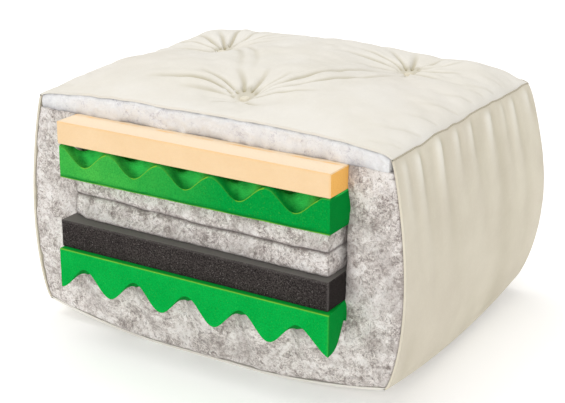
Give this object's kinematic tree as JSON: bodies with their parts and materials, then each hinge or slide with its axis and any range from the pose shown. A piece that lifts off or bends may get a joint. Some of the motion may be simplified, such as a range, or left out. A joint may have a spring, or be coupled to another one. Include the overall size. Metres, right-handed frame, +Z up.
{
  "type": "memory foam mattress",
  "caption": "Tufted futon mattress cut open at the front: cotton ticking round batting, cotton pads and a stack of flat, egg-crate and memory foam layers.",
  "frame": {"origin": "on the floor, under the middle of the whole block's box", "axes": "+X to the right across the cut face, +Y from the cut face to the back, +Z up"},
  "size_m": [0.479, 0.4238, 0.3035],
  "materials": {
    "ticking": "matte",
    "white_batting": "matte",
    "cotton_batting": "matte",
    "memory_foam": "matte",
    "green_foam": "matte",
    "dark_foam": "matte",
    "felt": "matte",
    "twine": "matte"
  },
  "bodies": {
    "root": {"top_cover_panel": "ticking", "bottom_cover_panel": "ticking", "left_border_panel": "ticking", "right_border_panel": "ticking", "back_border_panel": "ticking", "white_top_batting": "white_batting", "left_batting": "cotton_batting", "right_batting": "cotton_batting", "back_batting": "cotton_batting", "bottom_batting": "cotton_batting", "upper_middle_pad": "cotton_batting", "lower_middle_pad": "cotton_batting", "memory_foam_slab": "memory_foam", "upper_convoluted_foam": "green_foam", "lower_convoluted_foam": "green_foam", "dark_support_foam": "dark_foam", "left_tuft_top_button": "felt", "front_tuft_top_button": "felt", "right_tuft_top_button": "felt", "left_tuft_bottom_button": "felt", "front_tuft_bottom_button": "felt", "right_tuft_bottom_button": "felt", "left_tuft_twine": "twine", "front_tuft_twine": "twine", "right_tuft_twine": "twine"}
  },
  "joints": []
}
